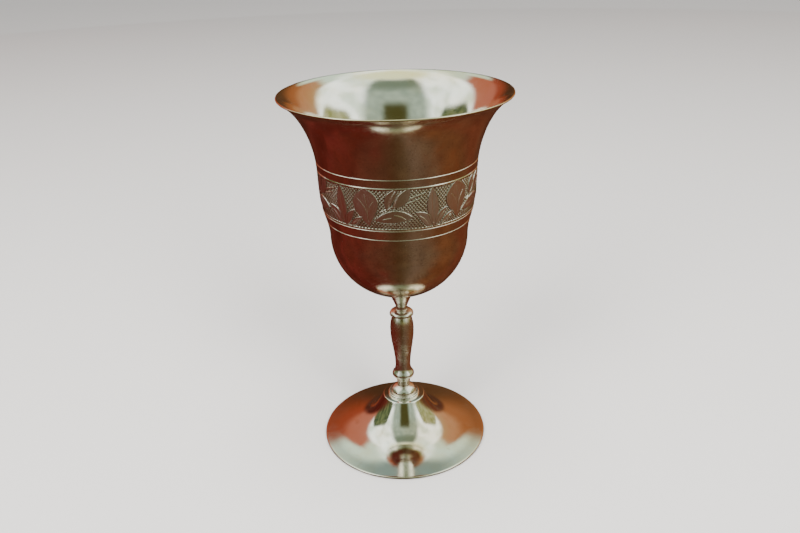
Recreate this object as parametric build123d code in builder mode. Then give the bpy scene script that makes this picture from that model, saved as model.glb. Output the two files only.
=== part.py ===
"""A stemmed metal goblet: a spun bell-shaped cup on a turned baluster stem and a spun trumpet foot.

The pieces are stacked on one central tie rod. The rod screws up into a boss that is brazed under
the cup, passes through the knop, the stem, the base ring and the foot, and a nut under the foot
pulls the stack together. The origin is the middle of the circle that the foot stands on, and +Z
runs up through the middle of the cup. All sizes are in millimetres.
"""

import os
from math import asin, cos, radians, sin, tan

from build123d import *

# ---------------------------------------------------------------- cup, spun from sheet
cup_height = 78.8  # outside of the bottom up to the top of the lip
cup_sheet = 0.7
lip_radius = 42.1
flare_drop = 23.2  # lip down to the top line of the engraved band
flare_radius = 29.85  # outside radius at the top line
flare_angle = 82.5  # of the wall above level, where the flare begins
flare_pull = 9.6  # how far the wall holds that angle
lip_angle = 28.5  # of the wall above level, at the lip
lip_pull = 7.2  # how far the wall holds that angle
band_height = 22.6  # top line down to the bottom line
band_border = 3.0  # plain strip between the two upper lines
band_footing = 3.8  # plain strip between the two lower lines
band_top_radius = 29.6  # outside radius at the upper edge of the engraving
band_low_radius = 28.35  # outside radius at the lower edge of the engraving
bottom_line_radius = 27.35  # outside radius at the bottom line
belly_radius = 26.2  # outside radius where the rounded bottom ends
shoulder_height = 7.4  # bottom line down to the end of the rounded bottom
line_width = 0.5  # each of the four lines is a round-bottomed cut
line_depth = 0.16

# ---------------------------------------------------------------- foot, spun from sheet
foot_height = 18.4
foot_sheet = 0.8
foot_radius = 34.0
brim_width = 3.0  # the straight band round the edge
brim_edge_height = 1.2  # table to the top of the brim at its edge
brim_angle = 7.0  # fall of the brim towards its edge
brim_pull = 13.0  # how far the trumpet holds the slope of the brim
platform_radius = 8.7  # flat top that the stem stands on
platform_rounding = 0.4
platform_angle = 68.0  # of the wall above level, under the platform
platform_pull = 11.0  # how far the trumpet holds that angle

wire_width = 2.2  # flat wire soldered under the brim, which the goblet stands on
wire_inset = 0.6  # back from the edge of the brim
wire_rounding = 0.15

# ---------------------------------------------------------------- turned pieces
ring_radius = 6.45  # base ring, between the stem and the foot
ring_height = 1.1
ring_rounding = 0.5

stem_height = 36.3
bell_radius = 5.15
bell_height = 3.1
bell_edge = 0.3  # straight edge under the bell
bell_top_angle = 20.0  # fall of the bell where it leaves the neck
neck_radius = 2.7
neck_height = 2.3
bead_radius = 4.5
bead_rise = 3.3  # neck up to the widest line of the bead
bead_pull = 1.3  # how far the bead stays near its full width
waist_radius = 3.1
waist_rise = 4.4  # widest line of the bead up to the waist
waist_pull = 3.2  # how far the waist stays near its width
baluster_radius = 4.8
baluster_drop = 6.5  # top of the stem down to the widest line of the baluster
stem_top_radius = 3.5
stem_top_angle = 64.0  # of the baluster above level, going in under the knop
spigot_radius = 2.6  # plain turned ends that centre the stem
spigot_height = 1.0  # upper one

knop_radius = 4.8
knop_height = 2.5
knop_edge = 0.4  # straight edge under the dome
knop_groove = 0.25  # undercut below the edge
knop_top_radius = 2.4
knop_top_angle = 12.0  # fall of the dome where it leaves the boss

boss_height = 8.1  # knop up to the outside of the cup's bottom
boss_neck_radius = 2.3
boss_neck_height = 1.2
boss_neck_pull = 1.0  # how far the collar stays near the width of the neck
boss_seat_radius = 5.15
boss_seat_angle = 73.0  # of the collar above level, at its seat
boss_seat_pull = 2.6  # how far the collar holds that angle
boss_thread_depth = 5.0

# ---------------------------------------------------------------- rod and fasteners
rod_radius = 1.5
rod_end = 1.6  # how far the rod shows below the nut
rod_chamfer = 0.3
washer_radius = 5.0
washer_height = 0.8
lock_washer_radius = 2.75
lock_washer_height = 0.8
lock_washer_gap = 0.7
nut_across_flats = 5.5
nut_height = 2.4
nut_face_radius = 2.6  # round face left where the corners are turned off
nut_corner_angle = 30.0

# ---------------------------------------------------------------- fits
rod_clearance = 0.25  # round the rod in the turned pieces
washer_clearance = 0.1  # round the rod in the washers
seat_clearance = 0.05  # round a spigot in its seat
end_clearance = 0.15  # past the end of a spigot in its seat

# ---------------------------------------------------------------- heights of the stack
ring_base = foot_height
stem_base = ring_base + ring_height
knop_base = stem_base + stem_height
boss_base = knop_base + knop_height
cup_base = boss_base + boss_height
lip_height = cup_base + cup_height

top_line = lip_height - flare_drop
engraving_top = top_line - band_border
bottom_line = top_line - band_height
engraving_bottom = bottom_line + band_footing
belly_line = bottom_line - shoulder_height
belly_depth = belly_line - cup_base

foot_underside = foot_height - foot_sheet
washer_base = foot_underside - washer_height
lock_washer_base = washer_base - lock_washer_height
nut_base = lock_washer_base - nut_height
rod_base = nut_base - rod_end
rod_top = boss_base + boss_thread_depth

rod_hole_radius = rod_radius + rod_clearance
washer_hole_radius = rod_radius + washer_clearance
seat_radius = spigot_radius + seat_clearance
seat_height = spigot_height + end_clearance
foot_spigot_height = ring_height + foot_sheet - end_clearance

UP = Vector(0, 1)


def heading(angle):
    """Direction at an angle above level, going outwards."""
    return Vector(cos(radians(angle)), sin(radians(angle)))


def bowl(radius, depth, angle):
    """Part of an ellipse, from the middle of the cup's bottom out to an angle round its centre."""
    base = belly_line - depth
    return Bezier(
        (0, base),
        (radius * tan(angle / 2), base),
        (radius * sin(angle), belly_line - depth * cos(angle)),
        weights=(1, cos(angle / 2), 1),
    )


def finish(piece, name):
    """Labels a finished piece and writes its STEP file."""
    piece.part.label = name
    export_step(piece.part, f"parts/{name}.step")


os.makedirs("parts", exist_ok=True)

# ---------------------------------------------------------------- cup
# The outline runs from the middle of the bottom out to the lip: a quarter ellipse, then the side
# through the four engraved lines, then the flare. The inside of the wall is the same line set in.
lip_heading = heading(lip_angle)
lip_across = heading(lip_angle - 90) * (cup_sheet / 2)
lip_middle = Vector(lip_radius, lip_height) - Vector(cup_sheet, cup_sheet) / 2


def draw_wall(inset, lip_end):
    """One side of the cup's wall, from the middle of the bottom out to the lip."""
    bowl(belly_radius - inset, belly_depth - inset, radians(90))
    side = Spline(
        (belly_radius - inset, belly_line),
        (bottom_line_radius - inset, bottom_line),
        (band_low_radius - inset, engraving_bottom),
        (band_top_radius - inset, engraving_top),
        (flare_radius - inset, top_line),
        tangents=(UP, heading(flare_angle)),
    )
    Bezier(
        side @ 1,
        side @ 1 + heading(flare_angle) * flare_pull,
        lip_end - lip_heading * lip_pull,
        lip_end,
    )


with BuildPart() as cup:
    with BuildSketch(Plane.XZ):
        with BuildLine():
            draw_wall(0, lip_middle + lip_across)
            ThreePointArc(
                lip_middle + lip_across,
                lip_middle + lip_heading * (cup_sheet / 2),
                lip_middle - lip_across,
            )
            draw_wall(cup_sheet, lip_middle - lip_across)
            Line((0, cup_base), (0, cup_base + cup_sheet))
        make_face()
    revolve(axis=Axis.Z)
    with BuildSketch(Plane.XZ):
        cut_radius = line_width / 2
        with Locations(
            (flare_radius + cut_radius - line_depth, top_line),
            (band_top_radius + cut_radius - line_depth, engraving_top),
            (band_low_radius + cut_radius - line_depth, engraving_bottom),
            (bottom_line_radius + cut_radius - line_depth, bottom_line),
        ):
            Circle(cut_radius)
    revolve(axis=Axis.Z, mode=Mode.SUBTRACT)
finish(cup, "cup")

# ---------------------------------------------------------------- boss under the cup
# A collar that opens upwards, with a seat turned to the cup's bottom and a blind tapped hole.
with BuildPart() as cup_boss:
    with BuildSketch(Plane.XZ):
        with BuildLine():
            seat = bowl(belly_radius, belly_depth, asin(boss_seat_radius / belly_radius))
            neck_end = Vector(boss_neck_radius, boss_base + boss_neck_height)
            Polyline((0, cup_base), (0, boss_base), (boss_neck_radius, boss_base), neck_end)
            Bezier(
                neck_end,
                neck_end + UP * boss_neck_pull,
                seat @ 1 - heading(boss_seat_angle) * boss_seat_pull,
                seat @ 1,
            )
        make_face()
    revolve(axis=Axis.Z)
    with BuildSketch(Plane.XY.offset(boss_base)):
        Circle(rod_radius)
    extrude(amount=boss_thread_depth, mode=Mode.SUBTRACT)
finish(cup_boss, "cup_boss")

# ---------------------------------------------------------------- knop
# A small dome with a straight edge, undercut so that the baluster stands clear of it.
with BuildPart() as knop:
    with BuildSketch(Plane.XZ):
        with BuildLine():
            edge_base = knop_base + knop_groove
            Polyline(
                (0, boss_base),
                (0, knop_base),
                (stem_top_radius, knop_base),
                (stem_top_radius + knop_groove, edge_base),
                (knop_radius, edge_base),
                (knop_radius, edge_base + knop_edge),
            )
            Spline(
                (knop_radius, edge_base + knop_edge),
                (knop_top_radius, boss_base),
                tangents=(UP, -heading(-knop_top_angle)),
            )
            Line((knop_top_radius, boss_base), (0, boss_base))
        make_face()
    revolve(axis=Axis.Z)
    with BuildSketch(Plane.XY.offset(knop_base)):
        Circle(rod_hole_radius)
    extrude(amount=knop_height, mode=Mode.SUBTRACT)
    with BuildSketch(Plane.XY.offset(knop_base)):
        Circle(seat_radius)
    extrude(amount=seat_height, mode=Mode.SUBTRACT)
finish(knop, "knop")

# ---------------------------------------------------------------- stem
# Turned from one bar: the bell, the neck, the bead and the baluster, with a spigot at each end.
bell_top = stem_base + bell_height
neck_top = bell_top + neck_height
bead_line = neck_top + bead_rise
waist_line = bead_line + waist_rise
baluster_line = knop_base - baluster_drop
with BuildPart() as stem:
    with BuildSketch(Plane.XZ):
        with BuildLine():
            Polyline((0, stem_base), (bell_radius, stem_base), (bell_radius, stem_base + bell_edge))
            Spline(
                (bell_radius, stem_base + bell_edge),
                (neck_radius, bell_top),
                tangents=(UP, -heading(-bell_top_angle)),
            )
            Line((neck_radius, bell_top), (neck_radius, neck_top))
            Spline((neck_radius, neck_top), (bead_radius, bead_line), tangents=(UP, UP))
            Bezier(
                (bead_radius, bead_line),
                (bead_radius, bead_line + bead_pull),
                (waist_radius, waist_line - waist_pull),
                (waist_radius, waist_line),
            )
            Spline((waist_radius, waist_line), (baluster_radius, baluster_line), tangents=(UP, UP))
            Spline(
                (baluster_radius, baluster_line),
                (stem_top_radius, knop_base),
                tangents=(UP, heading(180 - stem_top_angle)),
            )
            Polyline((stem_top_radius, knop_base), (0, knop_base), (0, stem_base))
        make_face()
    revolve(axis=Axis.Z)
    with BuildSketch(Plane.XY.offset(knop_base)):
        Circle(spigot_radius)
    extrude(amount=spigot_height)
    with BuildSketch(Plane.XY.offset(stem_base)):
        Circle(spigot_radius)
    extrude(amount=-foot_spigot_height)
    with BuildSketch(Plane.XY.offset(stem_base - foot_spigot_height)):
        Circle(rod_hole_radius)
    extrude(amount=foot_spigot_height + stem_height + spigot_height, mode=Mode.SUBTRACT)
finish(stem, "stem")

# ---------------------------------------------------------------- base ring
with BuildPart() as base_ring:
    with BuildSketch(Plane.XY.offset(ring_base)):
        Circle(ring_radius)
        Circle(seat_radius, mode=Mode.SUBTRACT)
    extrude(amount=ring_height)
    top_edges = base_ring.edges().group_by(Axis.Z)[-1]
    fillet(top_edges.sort_by(SortBy.RADIUS)[-1], ring_rounding)
finish(base_ring, "base_ring")

# ---------------------------------------------------------------- foot
# The outline runs from the edge of the brim up the trumpet to the platform, in to the hole for
# the stem's spigot, and back under the sheet.
brim_heading = heading(-brim_angle)
brim_across = heading(90 - brim_angle) * (foot_sheet / 2)
brim_middle = Vector(foot_radius, brim_edge_height) - Vector(foot_sheet, foot_sheet) / 2
brim_top = brim_middle + brim_across
brim_underside = brim_middle - brim_across
trumpet_base = brim_top - brim_heading * brim_width
platform_heading = heading(180 - platform_angle)
platform_edge = Vector(platform_radius, foot_height - platform_rounding)
flat_edge = Vector(platform_radius - platform_rounding, foot_height)
trumpet_start = trumpet_base - 2 * brim_across
trumpet_end = Vector(platform_radius - foot_sheet, foot_underside)
with BuildPart() as foot:
    with BuildSketch(Plane.XZ):
        with BuildLine():
            Line(brim_top, trumpet_base)
            Bezier(
                trumpet_base,
                trumpet_base - brim_heading * brim_pull,
                platform_edge - platform_heading * platform_pull,
                platform_edge,
            )
            Spline(platform_edge, flat_edge, tangents=(platform_heading, (-1, 0)))
            Polyline(
                flat_edge,
                (seat_radius, foot_height),
                (seat_radius, foot_underside),
                trumpet_end,
            )
            Bezier(
                trumpet_end,
                trumpet_end - platform_heading * platform_pull,
                trumpet_start - brim_heading * brim_pull,
                trumpet_start,
            )
            Line(trumpet_start, brim_underside)
            ThreePointArc(brim_underside, brim_middle + brim_heading * (foot_sheet / 2), brim_top)
        make_face()
    revolve(axis=Axis.Z)
finish(foot, "foot")

# ---------------------------------------------------------------- foot wire
# Its top is turned to the slope of the brim, and its flat underside is what stands on the table.
wire_outer = foot_radius - wire_inset
wire_inner = wire_outer - wire_width
brim_fall = tan(radians(brim_angle))
with BuildPart() as foot_wire:
    with BuildSketch(Plane.XZ):
        with BuildLine():
            Polyline(
                (wire_inner, 0),
                (wire_outer, 0),
                (wire_outer, brim_underside.Y + (brim_underside.X - wire_outer) * brim_fall),
                (wire_inner, brim_underside.Y + (brim_underside.X - wire_inner) * brim_fall),
                close=True,
            )
        make_face()
    revolve(axis=Axis.Z)
    fillet(foot_wire.edges().group_by(Axis.Z)[0], wire_rounding)
finish(foot_wire, "foot_wire")

# ---------------------------------------------------------------- tie rod
with BuildPart() as tie_rod:
    with BuildSketch(Plane.XY.offset(rod_base)):
        Circle(rod_radius)
    extrude(amount=rod_top - rod_base)
    chamfer(tie_rod.edges().filter_by(GeomType.CIRCLE), rod_chamfer)
finish(tie_rod, "tie_rod")

# ---------------------------------------------------------------- washers
with BuildPart() as washer:
    with BuildSketch(Plane.XY.offset(washer_base)):
        Circle(washer_radius)
        Circle(washer_hole_radius, mode=Mode.SUBTRACT)
    extrude(amount=washer_height)
finish(washer, "washer")

with BuildPart() as lock_washer:
    with BuildSketch(Plane.XY.offset(lock_washer_base)):
        Circle(lock_washer_radius)
        Circle(washer_hole_radius, mode=Mode.SUBTRACT)
        Rectangle(
            2 * lock_washer_radius,
            lock_washer_gap,
            align=(Align.MIN, Align.CENTER),
            mode=Mode.SUBTRACT,
        )
    extrude(amount=lock_washer_height)
finish(lock_washer, "lock_washer")

# ---------------------------------------------------------------- nut
# A hexagon whose lower corners are turned off.
corner_rise = tan(radians(nut_corner_angle))
with BuildPart() as nut:
    with BuildSketch(Plane.XY.offset(nut_base)):
        RegularPolygon(nut_across_flats / 2, 6, major_radius=False)
    extrude(amount=nut_height)
    with BuildSketch(Plane.XZ):
        with BuildLine():
            Polyline(
                (rod_radius, nut_base),
                (nut_face_radius, nut_base),
                (nut_across_flats, nut_base + (nut_across_flats - nut_face_radius) * corner_rise),
                (nut_across_flats, lock_washer_base),
                (rod_radius, lock_washer_base),
                close=True,
            )
        make_face()
    revolve(axis=Axis.Z, mode=Mode.INTERSECT)
finish(nut, "nut")
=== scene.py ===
"""Looks of the stemmed goblet: every turned and spun surface, the cut leaf band and the metal finishes.

All lengths that come from the frame are in metres. Sizes of a piece are given in millimetres in its own
section and multiplied by MM where they meet the frame.
"""

from math import cos, pi, radians, sin, tau

import bpy
import numpy as np
from mathutils import Matrix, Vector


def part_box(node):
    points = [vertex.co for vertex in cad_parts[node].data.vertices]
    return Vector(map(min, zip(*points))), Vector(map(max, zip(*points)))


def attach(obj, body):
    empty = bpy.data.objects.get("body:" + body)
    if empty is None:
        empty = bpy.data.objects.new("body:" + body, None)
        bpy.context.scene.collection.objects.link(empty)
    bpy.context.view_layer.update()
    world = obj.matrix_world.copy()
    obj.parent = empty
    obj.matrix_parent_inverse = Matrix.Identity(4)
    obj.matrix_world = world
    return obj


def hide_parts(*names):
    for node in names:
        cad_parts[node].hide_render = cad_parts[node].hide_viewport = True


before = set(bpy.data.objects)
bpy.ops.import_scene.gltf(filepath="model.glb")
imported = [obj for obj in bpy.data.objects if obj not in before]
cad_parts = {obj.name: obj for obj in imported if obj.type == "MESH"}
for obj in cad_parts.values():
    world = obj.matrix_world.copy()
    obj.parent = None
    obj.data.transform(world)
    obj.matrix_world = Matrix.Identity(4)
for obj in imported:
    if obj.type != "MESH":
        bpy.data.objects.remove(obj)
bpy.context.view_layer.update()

# ------------------------------------------------------------------------------------------------ cup
# The cup is spun from one disc of brass, silver plated and polished, and its plate is slightly warm with
# age. Four fine lines are turned round its outside, with the leaf band between the inner two.
MM = 0.001
cup_low, cup_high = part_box("cup")
CUP_SHEET = 0.7
LIP_RADIUS = 42.1
LIP_ANGLE = radians(28.5)
FLARE_ANGLE = radians(82.5)
FLARE_DROP = 23.2
FLARE_PULL = 9.6  # how far the flare holds its slope above the top line
LIP_PULL = 7.2  # and the slope of the lip
FLARE_RADIUS = 29.85
BAND_TOP_RADIUS = 29.6
BAND_LOW_RADIUS = 28.35
BOTTOM_LINE_RADIUS = 27.35
BELLY_RADIUS = 26.2
LINES_HEIGHT = 22.6  # from the bottom line up to the top line
UPPER_STRIP = 3.0  # smooth strip between the top line and the band
LOWER_STRIP = 3.8  # and between the band and the bottom line
BELLY_DROP = 7.4  # from the bottom line down to where the bottom begins
LINE_WIDTH = 0.5
LINE_DEPTH = 0.16
ROWS_A_LINE = 13
ROWS_REACH = 0.3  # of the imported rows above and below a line
UNDER_BAND = 0.4  # how far the sheet is sunk under the band, more than its deepest cut
BAND_STEP = 0.01  # height over which the sheet sinks there
OUTSIDE_SPACING = 0.55  # of the rows of the mesh
INSIDE_SPACING = 0.6
LEAST_SPACING = 0.004
CUP_COLUMNS = 288

lip_height = cup_high[2] / MM
cup_base = cup_low[2] / MM
top_line = lip_height - FLARE_DROP
engraving_top = top_line - UPPER_STRIP
bottom_line = top_line - LINES_HEIGHT
engraving_bottom = bottom_line + LOWER_STRIP
belly_line = bottom_line - BELLY_DROP


def heading(angle):
    """Direction at an angle above level, going outwards: (cosine, sine)."""
    return np.array([cos(angle), sin(angle)])


def bezier(points, count):
    """Cubic through four handles: (1-t)^3 a + 3 t (1-t)^2 b + 3 t^2 (1-t) c + t^3 d, t from 0 to 1."""
    a, b, c, d = (np.asarray(point, float) for point in points)
    t = np.linspace(0, 1, count)[:, None]
    return (1 - t) ** 3 * a + 3 * t * (1 - t) ** 2 * b + 3 * t**2 * (1 - t) * c + t**3 * d


def arc(centre, width, height, start, end, count):
    """Part of an ellipse: centre + (width cos a, height sin a), with a running from start to end."""
    a = np.linspace(start, end, count)
    return np.stack([centre[0] + width * np.cos(a), centre[1] + height * np.sin(a)], 1)


def through(points, first, last, count):
    """Smooth line through points, with the slope given at both ends.

    The slopes between make a cubic spline over the distance along the points: the sum of each slope's
    neighbours and four times itself balances the steps on both sides, weighted by their lengths.
    """
    points = np.asarray(points, float)
    step = np.linalg.norm(np.diff(points, axis=0), axis=1)
    size = len(points)
    matrix = np.eye(size)
    right = np.zeros((size, 2))
    right[0], right[-1] = first, last
    for i in range(1, size - 1):
        matrix[i, i - 1 : i + 2] = step[i], 2 * (step[i] + step[i - 1]), step[i - 1]
        before = (points[i] - points[i - 1]) / step[i - 1]
        after = (points[i + 1] - points[i]) / step[i]
        right[i] = 3 * (step[i] * before + step[i - 1] * after)
    slope = np.linalg.solve(matrix, right)
    place = np.concatenate([[0], np.cumsum(step)])
    along = np.linspace(0, place[-1], count)
    span = np.clip(np.searchsorted(place, along, side="right") - 1, 0, size - 2)
    t = ((along - place[span]) / step[span])[:, None]
    h = step[span][:, None]
    return (
        (2 * t**3 - 3 * t**2 + 1) * points[span]
        + (t**3 - 2 * t**2 + t) * h * slope[span]
        + (3 * t**2 - 2 * t**3) * points[span + 1]
        + (t**3 - t**2) * h * slope[span + 1]
    )


def respaced(line, spacing):
    """The same line with its points a given distance apart along it."""
    step = np.linalg.norm(np.diff(line, axis=0), axis=1)
    line = line[np.concatenate([[True], step > 1e-6])]
    place = np.concatenate([[0], np.cumsum(np.linalg.norm(np.diff(line, axis=0), axis=1))])
    along = np.linspace(0, place[-1], max(2, int(round(place[-1] / spacing)) + 1))
    return np.stack([np.interp(along, place, line[:, 0]), np.interp(along, place, line[:, 1])], 1)


def new_mesh(name, vertices, faces, marks=None):
    """A mesh object from arrays of vertices in metres and of faces, with one value a vertex for each mark."""
    mesh = bpy.data.meshes.new(name)
    mesh.from_pydata(vertices.tolist(), [], faces)
    for mark, values in (marks or {}).items():
        layer = mesh.attributes.new(mark, "FLOAT", "POINT")
        layer.data.foreach_set("value", np.ascontiguousarray(values, dtype=np.float32))
    mesh.polygons.foreach_set("use_smooth", np.ones(len(mesh.polygons), dtype=bool))
    mesh.update()
    piece = bpy.data.objects.new(name, mesh)
    bpy.context.collection.objects.link(piece)
    return piece


def spin(name, profile, columns, closed=False, sharp=40, marks=None):
    """Turns a profile of (radius, height) in mm round the axis.

    Ring point: (r sin a, -r cos a, z) for equal steps of the angle a. A point on the axis stays one
    vertex, so a pole is closed by triangles. A closed profile joins its last ring to its first.
    """
    profile = np.asarray(profile, float)
    rows = len(profile)
    angle = np.arange(columns) * (tau / columns)
    radius, height = profile[:, :1], profile[:, 1:]
    grid = np.stack(
        [radius * np.sin(angle), -radius * np.cos(angle), np.repeat(height, columns, 1)], -1
    )
    pole = profile[:, 0] < 1e-6
    keep = ~pole[:, None] | (np.arange(columns) == 0)
    start = np.concatenate([[0], np.cumsum(keep.sum(1))[:-1]])
    index = start[:, None] + np.where(pole[:, None], 0, np.arange(columns))
    low, high = np.arange(rows - 1), np.arange(1, rows)
    if closed:
        low, high = np.arange(rows), np.roll(np.arange(rows), -1)
    turn = np.roll(index, -1, 1)
    quads = np.stack([index[low], turn[low], turn[high], index[high]], -1)
    whole = ~pole[low] & ~pole[high]
    faces = quads[whole].reshape(-1, 4).tolist()
    faces += quads[pole[low]][..., [0, 2, 3]].reshape(-1, 3).tolist()
    faces += quads[pole[high]][..., [0, 1, 2]].reshape(-1, 3).tolist()
    marks = {mark: np.repeat(values[:, None], columns, 1)[keep] for mark, values in (marks or {}).items()}
    piece = new_mesh(name, grid[keep] * MM, faces, marks)
    piece.data.set_sharp_from_angle(angle=radians(sharp))
    return piece


def wall_line(inset, lip_end):
    """One side of the cup's wall from the middle of its bottom to the lip: ellipse, spline and flare."""
    depth = belly_line - cup_base - inset
    bottom = arc((0, belly_line), BELLY_RADIUS - inset, depth, -pi / 2, 0, 120)
    side = through(
        [
            (BELLY_RADIUS - inset, belly_line),
            (BOTTOM_LINE_RADIUS - inset, bottom_line),
            (BAND_LOW_RADIUS - inset, engraving_bottom),
            (BAND_TOP_RADIUS - inset, engraving_top),
            (FLARE_RADIUS - inset, top_line),
        ],
        heading(pi / 2),
        heading(FLARE_ANGLE),
        400,
    )
    start = side[-1]
    flare_handle = start + heading(FLARE_ANGLE) * FLARE_PULL
    lip_handle = lip_end - heading(LIP_ANGLE) * LIP_PULL
    flare = bezier([start, flare_handle, lip_handle, lip_end], 120)
    return np.concatenate([bottom, side[1:], flare[1:]])


lip_across = heading(LIP_ANGLE - pi / 2) * CUP_SHEET / 2
lip_middle = np.array([LIP_RADIUS, lip_height]) - CUP_SHEET / 2
outer_wall = wall_line(0, lip_middle + lip_across)
inner_wall = wall_line(CUP_SHEET, lip_middle - lip_across)
lip_edge = arc(lip_middle, CUP_SHEET / 2, CUP_SHEET / 2, LIP_ANGLE - pi / 2, LIP_ANGLE + pi / 2, 13)
line_heights = np.array([top_line, engraving_top, engraving_bottom, bottom_line])


def line_cut(height):
    """Share of the full depth of a turned line: one minus the square of the way to its edge, or zero."""
    away = np.abs(np.asarray(height)[..., None] - line_heights).min(-1) / (LINE_WIDTH / 2)
    return np.clip(1 - away**2, 0, 1)


def with_lines(line):
    """The outer wall with rows packed round the turned lines, the lines cut and the sheet sunk under the
    leaf band.
    """
    dense = (line_heights[:, None] + np.linspace(-ROWS_REACH, ROWS_REACH, ROWS_A_LINE)).ravel()
    edges = np.array([engraving_top - BAND_STEP, engraving_bottom + BAND_STEP])
    curved = line[line[:, 1] < belly_line]
    upper = line[line[:, 1] >= belly_line]
    heights = np.unique(np.concatenate([upper[:, 1], dense, edges]))
    heights = heights[np.concatenate([[True], np.diff(heights) > LEAST_SPACING])]
    radius = np.interp(heights, upper[:, 1], upper[:, 0]) - LINE_DEPTH * line_cut(heights)
    under = (heights > engraving_bottom + BAND_STEP / 2) & (heights < engraving_top - BAND_STEP / 2)
    radius[under] = np.interp(heights[under], upper[:, 1], upper[:, 0]) - UNDER_BAND
    return np.concatenate([curved, np.stack([radius, heights], 1)])


outside = with_lines(respaced(outer_wall, OUTSIDE_SPACING))
inside = respaced(inner_wall, INSIDE_SPACING)[::-1]
cup_profile = np.concatenate([outside, lip_edge[1:-1], inside])
rows_outside = len(outside)
# The turned lines are marked for a pale tone: partly the bare metal of the cut, partly a painted highlight.
cut_and_highlight_mark = np.zeros(len(cup_profile))
cut_and_highlight_mark[:rows_outside] = line_cut(outside[:, 1])
bright_mark = np.zeros(len(cup_profile))
bright_mark[rows_outside - 1 :] = 1.0
cup = spin("cup_shell", cup_profile, CUP_COLUMNS, marks={"cut": cut_and_highlight_mark, "bright": bright_mark})
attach(cup, "root")
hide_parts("cup")


def start_material(name):
    """A new material with a principled shader. Returns it with its tree, its shader and a node maker."""
    material = bpy.data.materials.new(name)
    material.use_nodes = True
    tree = material.node_tree
    shader = tree.nodes["Principled BSDF"]
    shader.inputs["Metallic"].default_value = 1.0

    def node(kind, links=None, **settings):
        made = tree.nodes.new(kind)
        for key, value in settings.items():
            if key.startswith("in_"):
                made.inputs[key[3:].replace("_", " ")].default_value = value
            else:
                setattr(made, key, value)
        for socket, source in (links or {}).items():
            tree.links.new(source, made.inputs[socket])
        return made

    return material, tree, shader, node


def mixed(node, factor, first, second):
    """Colour mixed from first to second as the factor goes from 0 to 1. Each may be a colour or a socket."""
    mix = node("ShaderNodeMix", data_type="RGBA")
    tree = mix.id_data
    for socket, value in ((0, factor), (6, first), (7, second)):
        if isinstance(value, (tuple, float)):
            mix.inputs[socket].default_value = value
        else:
            tree.links.new(value, mix.inputs[socket])
    return mix.outputs[2]


def ranged(node, value, low, high, new_low=0.0, new_high=1.0):
    """A value eased from new_low to new_high as it goes from low to high."""
    change = node("ShaderNodeMapRange", {"Value": value}, interpolation_type="SMOOTHSTEP")
    for socket, number in (("From Min", low), ("From Max", high), ("To Min", new_low), ("To Max", new_high)):
        change.inputs[socket].default_value = number
    return change.outputs[0]


def turning_marks(node, place, fineness, strength):
    """Normal with the level marks of the polishing wheel: noise along the height times the fineness."""
    height = node("ShaderNodeSeparateXYZ", {"Vector": place}).outputs["Z"]
    rings = node("ShaderNodeMath", {0: height}, operation="MULTIPLY")
    rings.inputs[1].default_value = fineness
    marks = node("ShaderNodeTexNoise", {"W": rings.outputs[0]}, noise_dimensions="1D", in_Detail=2.0)
    bump = node("ShaderNodeBump", {"Height": marks.outputs["Fac"]}, in_Strength=strength)
    bump.inputs["Distance"].default_value = 0.02 * MM
    return bump.outputs["Normal"]


def plated(name, light, warm, shade, polish, mark_strength):
    """Polished plate: a bright colour with warm and shaded clouds, smears in the polish and ring marks."""
    material, tree, shader, node = start_material(name)
    place = node("ShaderNodeTexCoord").outputs["Object"]
    clouds = node("ShaderNodeTexNoise", {"Vector": place}, in_Scale=46.0, in_Detail=5.0, in_Roughness=0.6)
    stains = node("ShaderNodeTexNoise", {"Vector": place}, in_Scale=130.0, in_Detail=8.0, in_Roughness=0.7)
    smears = node("ShaderNodeTexNoise", {"Vector": place}, in_Scale=300.0, in_Detail=6.0)
    colour = mixed(node, ranged(node, clouds.outputs["Fac"], 0.38, 0.68), light, warm)
    colour = mixed(node, ranged(node, stains.outputs["Fac"], 0.58, 0.78, 0.0, 0.55), colour, shade)
    tree.links.new(colour, shader.inputs["Base Color"])
    rough = ranged(node, smears.outputs["Fac"], 0.3, 0.75, polish, polish * 1.9)
    tree.links.new(rough, shader.inputs["Roughness"])
    tree.links.new(turning_marks(node, place, 5200.0, mark_strength), shader.inputs["Normal"])
    return material


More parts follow.
